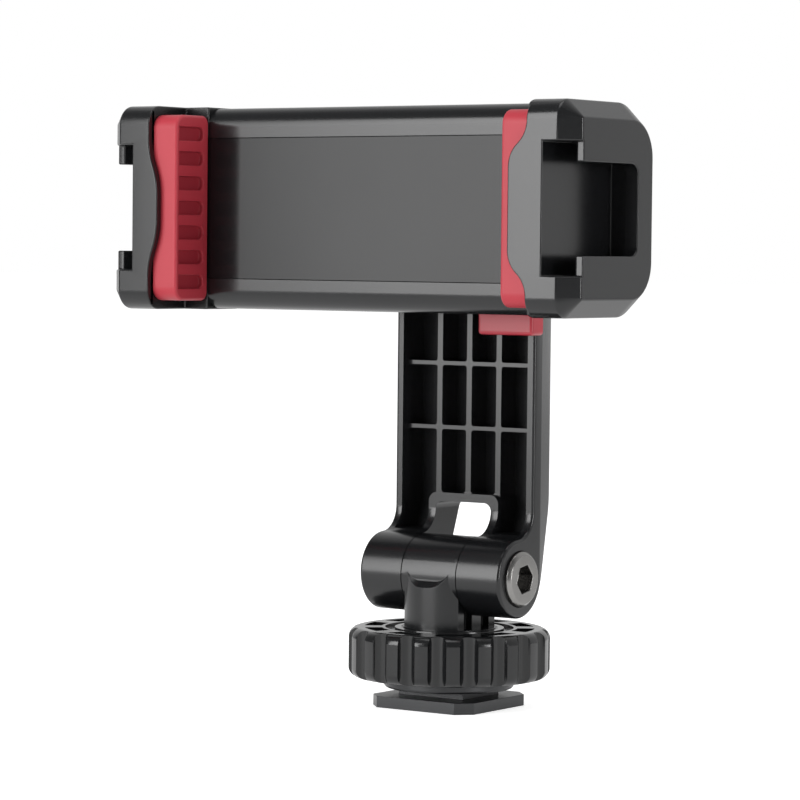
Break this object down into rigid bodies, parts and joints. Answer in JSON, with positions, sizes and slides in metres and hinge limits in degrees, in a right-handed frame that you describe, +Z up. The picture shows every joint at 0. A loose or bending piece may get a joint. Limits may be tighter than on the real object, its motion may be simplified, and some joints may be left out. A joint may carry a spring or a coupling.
{
  "type": "tripod phone mount adapter",
  "caption": "Spring-loaded phone clamp on a ribbed tilting arm, with a turntable, shoe slots in both jaws, and a foot with lock wheel and tripod thread.",
  "frame": {"origin": "centre of the foot's underside, on the axis of the tripod thread", "axes": "+Z up along the tripod thread and the post, +X along the clamp towards its fixed jaw, -Y towards the phone and its user"},
  "size_m": [0.0852, 0.0395, 0.0918],
  "materials": {
    "black_plastic": "fine-textured black nylon",
    "panel_plastic": "semi-gloss black",
    "wheel_plastic": "semi-gloss black",
    "red_rubber": "satin red silicone rubber",
    "red_plastic": "satin red",
    "black_aluminium": "black anodised",
    "bright_steel": "nickel plated",
    "black_steel": "blackened",
    "spring_steel": "drawn wire"
  },
  "bodies": {
    "base": {"shoe_foot": "black_aluminium", "foot_screws": "black_steel", "stem_post": "black_plastic"},
    "pressure": {"pressure_ring": "black_aluminium"},
    "wheel": {"lock_wheel": "wheel_plastic"},
    "arm": {"arm_frame": "black_plastic", "hinge_screw": "bright_steel", "hinge_nut": "bright_steel", "hinge_washers": "black_steel", "head_cap": "black_plastic", "lock_keeper": "black_steel", "keeper_screws": "black_steel"},
    "latch": {"rotation_lock": "red_plastic"},
    "clamp": {"turntable": "black_plastic", "turntable_screws": "black_steel", "pivot_washer": "bright_steel", "pivot_screw": "bright_steel", "clamp_body": "black_plastic", "back_cover": "black_plastic", "cover_screws": "black_steel", "fixed_jaw": "black_plastic", "fixed_pad": "red_rubber", "fixed_jaw_screws": "black_steel", "lower_pull_spring": "spring_steel", "upper_pull_spring": "spring_steel"},
    "sliding_jaw": {"moving_jaw": "black_plastic", "moving_pad": "red_rubber", "moving_jaw_screws": "black_steel", "slide_plate": "panel_plastic", "post_screws": "black_steel"}
  },
  "joints": [
    {"name": "ring_lift", "type": "slide", "parent": "base", "child": "pressure", "axis": [0, 0, 1], "range_m": [-0.0011, 0.002]},
    {"name": "wheel_turn", "type": "hinge", "parent": "pressure", "child": "wheel", "pos_m": [0, 0, 0.008], "axis": [0, 0, 1], "range_deg": [-265, 481]},
    {"name": "arm_tilt", "type": "hinge", "parent": "base", "child": "arm", "pos_m": [0, 0, 0.02026], "axis": [1, 0, 0], "range_deg": [-70, 90]},
    {"name": "clamp_turn", "type": "hinge", "parent": "arm", "child": "clamp", "pos_m": [0, 0.003, 0.0761], "axis": [0, 1, 0], "range_deg": [-90, 180]},
    {"name": "latch_slide", "type": "slide", "parent": "arm", "child": "latch", "axis": [0, 0, 1], "range_m": [0, 0.002]},
    {"name": "jaw_slide", "type": "slide", "parent": "clamp", "child": "sliding_jaw", "axis": [-1, 0, 0], "range_m": [0, 0.03], "stiffness_N_per_m": 200, "springref_m": -0.03, "deforming": ["lower_pull_spring", "upper_pull_spring"]}
  ],
  "couplings": [
    {"joint": "wheel_turn", "follows": "ring_lift", "rad_per_m": 4188.8}
  ]
}
